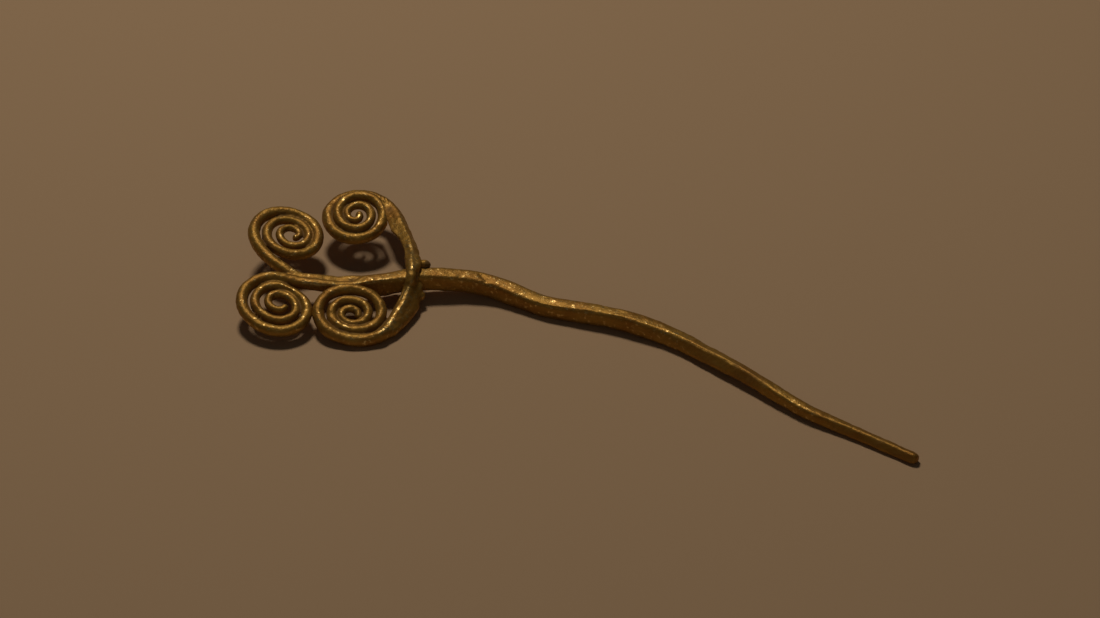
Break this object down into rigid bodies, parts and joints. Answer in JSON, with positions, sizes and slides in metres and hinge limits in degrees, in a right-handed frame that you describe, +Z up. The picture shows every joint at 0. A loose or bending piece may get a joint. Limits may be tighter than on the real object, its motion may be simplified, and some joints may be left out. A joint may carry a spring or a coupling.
{
  "type": "spiral-headed dress pin",
  "caption": "Ancient gold dress pin: a bent, tapering square shank whose split end and a saddling crosspiece are coiled into flat wire spirals as its head.",
  "frame": {"origin": "on the table under the middle of the whole pin's box", "axes": "+X from the spiral head to the tip of the shank, +Z up from the table it rests on"},
  "size_m": [0.0726, 0.0232, 0.0049],
  "materials": {
    "pin": "hammered old gold, worn, with brown soil in its hollows",
    "crosspiece": "hammered old gold, worn, with brown soil in its hollows"
  },
  "bodies": {
    "root": {"pin": "pin", "crosspiece": "crosspiece"}
  },
  "joints": []
}
